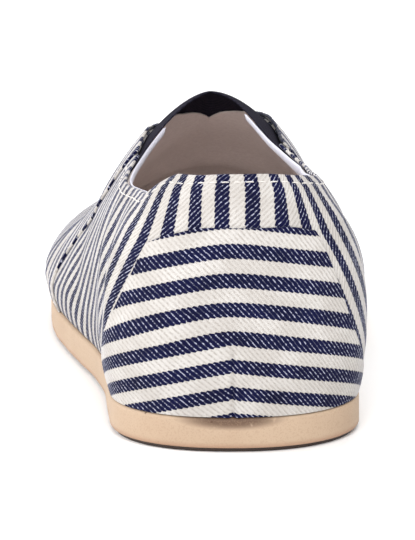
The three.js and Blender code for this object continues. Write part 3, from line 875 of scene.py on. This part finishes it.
def tapeFinish():
    finish = Finish("white_cotton_tape", Roughness=0.85, Sheen_Weight=0.1)
    u, v, _ = finish.split(finish.clothUv())
    rib = (u * (1000 / tape["ribPitch"])).cycle()
    pick = (v * (1000 / tape["pickPitch"])).cycle()
    colour = finish.blend(rib.ramp(0.4, 1.0) * 0.5, linear(212, 212, 224), linear(190, 189, 201))
    finish.put(Base_Color=colour, Normal=finish.bump(rib + pick * 0.5, 0.00015, 0.6))
    return finish.material


whiteTape = tapeFinish()


def makeTape(side, name, width, node):
    samples = np.linspace(0.02, 0.6, 600)
    edgeY = skin(side * samples, levelWhere(side * samples, overTopline(0)))[:, 1]
    ring = side * np.interp(np.linspace(tape["rear"], tape["front"], tape["columns"]), edgeY, samples)
    top = levelWhere(ring, overTopline(-tape["proud"]))
    bottom = levelWhere(ring, overTopline(width))
    ringGrid, levels, fromTop = levelsUp(ring, bottom, top, tape["rows"])
    along, up = lengthsOver(skin(ringGrid, levels))
    fromEnds = np.minimum(along, along[-1:] - along)
    thick = np.prod([rolled(distance, tape["edgeRound"]) for distance in (fromTop, up, fromEnds)], 0)
    # over the edge the tape leans out towards the cloth
    lean = tape["lean"] * np.clip(1 - fromTop / tape["leanUnder"], 0, 1) ** 1.5
    outer, inner = bothSheets("tape", ringGrid, levels, thick, lean)
    finishPiece(shellMesh(name, outer, inner, np.stack([along, up], -1), False), whiteTape, "tape", node)


makeTape(-1, "outer_tape", tape["outerWidth"], "tape_outer")
makeTape(1, "inner_tape", tape["innerWidth"], "tape_inner")
print("tapes made")

# Sole: foam unit and thin rubber outsole, both on the line where the upper meets the sole
sole = dict(columns=220, inset=7.0, unevenness=0.12,
            foam=dict(bottom=1.05, top=9.05, outset=0.8, lowerRound=0.5, upperRound=1.1),
            rubber=dict(bottom=0.0, top=0.95, outset=-0.3, lowerRound=0.4, upperRound=0.2))


def soleRing(ring, outset, height):
    point = skin(ring, 0 * ring)
    normal = skinNormal(ring, 0 * ring + shoe["widestShare"])
    normal[:, 2] = 0
    normal /= np.linalg.norm(normal, axis=1, keepdims=True)
    point = point + normal * (outset + 0 * ring)[:, None]
    point[:, 2] = height + springAt(point[:, 1])
    return point


def soleLayer(name, profile, material, slot, node, unevenness=0.0):
    ring = ringPlaces(sole["columns"])[:-1]
    count = len(ring)
    random = np.random.default_rng(7)
    phases = random.uniform(0, 2 * math.pi, 6)
    uneven = sum(np.sin((k * 3 + 5) * np.pi * ring + phases[k]) for k in range(6)) / 6
    rings = [soleRing(ring, outset + unevenness * uneven, height) for outset, height in profile]
    along = arcTo(rings[0][None])[0]
    uv = np.concatenate([np.stack([along, np.full(count, height)], -1) for _, height in profile])
    piece = makeMesh(name, np.concatenate(rings), solidFaces(count, len(rings)), uv)
    finishPiece(piece, material, slot, node)


def roundedProfile(bottom, top, outset, lowerRound, upperRound):
    # outset and height up the edge, with a rounded corner at each end
    low, high = bottom + lowerRound, top - upperRound
    inner = outset - sole["inset"]
    lowerTurns = np.linspace(0, math.pi / 2, 7)
    upperTurns = np.linspace(0, math.pi / 2, 9)
    return [(inner, bottom),
            *((outset - lowerRound * (1 - math.sin(a)), low - lowerRound * math.cos(a)) for a in lowerTurns),
            *((outset, low + (high - low) * share) for share in (0.2, 0.4, 0.6, 0.8)),
            *((outset - upperRound * (1 - math.cos(a)), high + upperRound * math.sin(a)) for a in upperTurns),
            (inner, top)]


def foamFinish():
    look = dict(base=linear(182, 158, 134), warm=linear(171, 145, 121), speck=linear(84, 60, 44),
                # the colour after speck and the five place and size values are a painted shadow under the
                # upper at the heel's middle
                heelShade=linear(82, 56, 40), pore=linear(150, 123, 100), foot=linear(150, 106, 82),
                heelShadeX=-0.0035, heelShadeZ=0.0086, heelShadeWide=0.013, heelShadeHigh=0.0026, heelShadeRear=-0.1)
    finish = Finish("tan_foam", Specular_IOR_Level=0.4)
    place = finish.place()
    x, y, z = finish.split(place)
    cloud = finish.noise(place, 45.0, 3.0)
    colour = finish.blend(cloud.ramp(0.35, 0.75) * 0.6, look["base"], look["warm"])
    cell = finish.add("ShaderNodeTexVoronoi", dict(feature="F1"), {"Vector": place, "Scale": 260.0})
    speck = (1 - cell.ramp(0.07, 0.13)) * finish.noise(place, 210.0, 0.0).ramp(0.60, 0.66)
    colour = finish.blend(speck * 0.8, colour, look["speck"])
    # painted shadow: darker brown under the upper at the heel's middle, just below where the upper meets the
    # sole
    away = (((x - look["heelShadeX"]) / look["heelShadeWide"]).squared()
            + ((z - look["heelShadeZ"]) / look["heelShadeHigh"]).squared())
    nearHeel = 1 - (y - look["heelShadeRear"]).ramp(0.0, 0.012)
    heelShade = (1 - away.ramp(0.1, 1.4)) * finish.noise(place, 420.0, 2.0).ramp(0.15, 0.42) * nearHeel
    colour = finish.blend(heelShade * 0.9, colour, look["heelShade"])
    # painted shade: darker and redder along the foam's bottom edge, near the floor
    colour = finish.blend((1 - z.ramp(0.0013, 0.0027)) * 0.5, colour, look["foot"])
    grain = finish.noise(place, 2400.0, 2.0)
    colour = finish.blend(grain.ramp(0.50, 0.66) * 0.28, colour, look["pore"])
    finish.put(Base_Color=colour, Roughness=0.55 + cloud * 0.2,
               Normal=finish.bump(grain * 0.4 + cell.ramp(0.0, 0.35) * 0.2, 0.0002, 0.4))
    return finish.material


def rubberFinish():
    finish = Finish("dark_rubber")
    place = finish.place()
    x, y, z = finish.split(place)
    cloud = finish.noise(place, 60.0, 3.0)
    colour = finish.blend(cloud, linear(38, 28, 24), linear(62, 46, 38))
    # a fine zigzag rib on the faces that look down
    rib = (x * 180 + (y * 125).cycle() * 0.8).cycle()
    facing = finish.split(finish.add("ShaderNodeNewGeometry", {}, [], "Normal"))[2]
    tread = rib.ramp(0.25, 0.45) * (facing * -1).ramp(0.8, 0.95)
    finish.put(Base_Color=colour, Roughness=0.5 + cloud * 0.25, Normal=finish.bump(tread, 0.0008, 0.8))
    return finish.material


foamProfile = roundedProfile(**sole["foam"])
soleLayer("foam_sole", foamProfile, foamFinish(), "sole_foam", "midsole", sole["unevenness"])
soleLayer("rubber_outsole", roundedProfile(**sole["rubber"]), rubberFinish(), "outsole_rubber", "outsole")
print("sole made")

# Insole: a soft sheet from wall to wall, a little dished under the heel
insole = dict(columns=150, level=0.055, gap=0.12, thickness=3.0, edgeRound=1.2,
              dish=0.9, dishY=30.0, dishReach=22, centreFrom=34, centreTo=155,
              rings=[1.0, 0.992, 0.975, 0.94, 0.88, 0.78, 0.64, 0.48, 0.3, 0.12])


def makeInsole():
    ring = ringPlaces(insole["columns"])[:-1]
    edge = clothPoint(ring, insole["level"] + 0 * ring, layers["lining"][1] - insole["gap"] + 0 * ring)
    centreY = np.clip(edge[:, 1], insole["centreFrom"], insole["centreTo"])
    centre = np.stack([lastCurve["shift"](centreY), centreY, 0 * centreY], -1)
    rings = []
    for share in insole["rings"]:
        point = centre + (edge - centre) * share
        away = np.hypot(point[:, 0], point[:, 1] - insole["dishY"])
        dish = insole["dish"] * np.exp(-(away / insole["dishReach"]) ** 2)
        lift = insole["thickness"] * rolled((1 - share) * 40, insole["edgeRound"]) - dish
        point[:, 2] = footAt(point[:, 1]) + np.maximum(lift, 0.1)
        rings.append(point)
    points = np.concatenate(rings)
    piece = makeMesh("insole_sock", points, solidFaces(len(ring), len(rings)), points[:, :2])
    finishPiece(piece, taupeSuede, "lining", "insole")


makeInsole()
print("insole made")

# Stitches: small laid threads, joined by row
thread = dict(pitch=3.1, length=2.1, width=0.36, height=0.2, sink=0.2,
              places=[-0.5, -0.42, -0.2, 0.0, 0.2, 0.42, 0.5],
              fullness=[0.15, 0.75, 1.0, 1.0, 1.0, 0.75, 0.15])
seams = dict(toplineDrop=2.3, toplineEnd=86, vampInset=1.5, vampPitch=2.4, vampSize=0.55,
             edgingFrom=89, edgingTo=117, edgingPitch=2.2, edgingSize=2.2)


def threadFinish(name, colour, dim):
    finish = Finish(name, Roughness=0.75, Sheen_Weight=0.1)
    tone = finish.noise(finish.place(), 1600.0, 2.0)
    finish.put(Base_Color=finish.blend(tone, colour, dim), Normal=finish.bump(tone, 0.0001, 0.5))
    return finish.material


def stitchRow(name, ring, level, lift, material, slot, pitch=thread["pitch"], size=1.0):
    line = clothPoint(ring, level, lift + 0 * ring)
    normals = skinNormal(ring, level)
    arc = arcTo(line)
    count = int(arc[-1] / pitch)
    at = (np.arange(count) + 0.5) * arc[-1] / count

    def along(values, place):
        return np.stack([np.interp(place, arc, values[:, i]) for i in range(3)], -1)

    centre = along(line, at)
    ahead = along(line, at + 0.4) - along(line, at - 0.4)
    ahead /= np.linalg.norm(ahead, axis=1, keepdims=True)
    across = np.cross(along(normals, at), ahead)
    across /= np.linalg.norm(across, axis=1, keepdims=True)
    up = np.cross(ahead, across)
    length = thread["length"] * size * min(1.0, pitch / thread["pitch"])
    places = np.array(thread["places"])[:, None, None]
    fullness = np.array(thread["fullness"])[:, None, None]
    around = np.linspace(0, 2 * math.pi, 8, endpoint=False)[:, None]
    centre, ahead, across, up = (vectors[:, None, None] for vectors in (centre, ahead, across, up))
    points = (centre + places * length * ahead
              + fullness * np.cos(around) * thread["width"] / 2 * size * across
              + fullness * np.sin(around) * thread["height"] * size * up
              - (2 * np.abs(places)) ** 3 * thread["sink"] * up)
    faces = [ringFaces(around.size, len(places), i * around.size * len(places)) for i in range(count)]
    finishPiece(makeMesh(name, points.reshape(-1, 3), np.concatenate(faces)), material, slot)


def edgePath(side, stations, test, fromY, toY):
    # along the line where the test turns true
    level = levelWhere(side * stations, test)
    y = skin(side * stations, level)[:, 1]
    keep = (level < crownLevel) & (y > fromY) & (y < toY)
    return side * stations[keep], level[keep]


def vampEdgePath(side, inset):
    heights = np.linspace(shoe["feather"] + 1.5, 64.5, 260)
    edgeY = curveThrough(vampEdge["z"], vampEdge["y"])
    slope = edgeY(heights + 0.5) - edgeY(heights - 0.5)
    ring = side * stationAt(edgeY(heights) + inset * np.hypot(1, slope))
    level = levelAtHeight(ring, heights)
    keep = level < levelWhere(ring, insideNotch(goreRows, 2.0))
    return ring[keep], level[keep]


whiteThread = threadFinish("white_thread", linear(222, 218, 214), linear(202, 196, 190))
navyThread = threadFinish("navy_thread", linear(20, 21, 56), linear(9, 9, 28))

stations, underEdge = np.linspace(0.0005, 0.6, 700), overTopline(seams["toplineDrop"])
paths = [edgePath(side, stations, underEdge, -20, seams["toplineEnd"]) for side in (-1, 1)]
ring, level = (np.concatenate([outer[::-1], inner]) for outer, inner in zip(*paths))
stitchRow("topline_stitches", ring, level, 0.08, whiteThread, "tape")
for side, name in sides:
    ring, level = vampEdgePath(side, seams["vampInset"])
    stitchRow(f"vamp_{name}_stitches", ring, level, layers["overlay"][0] + 0.02, whiteThread, "canvas",
              seams["vampPitch"], seams["vampSize"])
ring, level = edgePath(1, np.linspace(0.3, 0.6, 400), insideNotch(goreRows, 0.15),
                       seams["edgingFrom"], seams["edgingTo"])
stitchRow("throat_edging", ring, level, 0.4, navyThread, "canvas", seams["edgingPitch"], seams["edgingSize"])
print("stitches made")

# Floor, light and camera
stage = dict(camera=(-79.1, -1072.7, 267.0), yaw=5.85, pitch=11.755, focalPixels=2303.0, photoHigh=540,
             middlePixel=(207.5, 270.0), aimPixel=(124.0, 261.0), zoom=1.9, sensor=36.0,
             floorSize=6.0, lampAim=(0, 0, 0.03), daylight=0.66)


def makeCamera():
    yaw, pitch = math.radians(stage["yaw"]), math.radians(stage["pitch"])
    # turned from the photograph's middle to the shoe
    aimX, aimY = (math.atan((aim - middle) / stage["focalPixels"])
                  for aim, middle in zip(stage["aimPixel"], stage["middlePixel"]))
    turn = Matrix.Rotation(-aimX, 3, "Y") @ Matrix.Rotation(-aimY, 3, "X")
    basis = Euler((math.pi / 2 - pitch, 0, -yaw)).to_matrix() @ turn
    place = (Vector(stage["camera"]) + Vector(frameShift)) * 0.001
    camera = bpy.data.objects.new("camera", bpy.data.cameras.new("camera"))
    camera.matrix_world = Matrix.Translation(place) @ basis.to_4x4()
    camera.data.sensor_fit = "VERTICAL"
    camera.data.sensor_height = stage["sensor"]
    camera.data.lens = stage["focalPixels"] / stage["photoHigh"] * stage["sensor"] * stage["zoom"]
    camera.data.clip_end = 20
    bpy.context.scene.collection.objects.link(camera)
    bpy.context.scene.camera = camera


def makeFloor():
    mesh = bpy.data.meshes.new("floor")
    work = bmesh.new()
    bmesh.ops.create_grid(work, x_segments=8, y_segments=8, size=stage["floorSize"])
    work.to_mesh(mesh)
    work.free()
    floor = bpy.data.objects.new("floor", mesh)
    floor.location.z = -0.00005
    bpy.context.scene.collection.objects.link(floor)
    finish = Finish("pale_floor", Roughness=0.7)
    tone = finish.noise(finish.place(), 3.0, 1.0)
    finish.put(Base_Color=finish.blend(tone, (0.93, 0.93, 0.93), (0.95, 0.95, 0.95)))
    mesh.materials.append(finish.material)


def addLamp(name, place, size, power):
    lamp = bpy.data.lights.new(name, "AREA")
    lamp.shape = "DISK"
    lamp.size = size
    lamp.energy = power
    lampObject = bpy.data.objects.new(name, lamp)
    lampObject.location = place
    direction = Vector(stage["lampAim"]) - Vector(place)
    lampObject.rotation_euler = direction.to_track_quat("-Z", "Y").to_euler()
    bpy.context.scene.collection.objects.link(lampObject)


makeCamera()
makeFloor()
addLamp("key_lamp", (0.35, -1.0, 1.4), 1.3, 15)
addLamp("fill_lamp", (-0.35, -1.45, 0.75), 1.0, 10)
addLamp("side_lamp", (-1.3, 0.25, 0.65), 1.0, 16)
addLamp("back_lamp", (0.1, 1.3, 1.1), 1.2, 9)
world = bpy.data.worlds.new("studio")
world.use_nodes = True
background = world.node_tree.nodes["Background"]
background.inputs["Color"].default_value = (1, 1, 1, 1)
background.inputs["Strength"].default_value = stage["daylight"]
bpy.context.scene.world = world
bpy.context.scene.view_settings.view_transform = "Standard"
print("stage made")
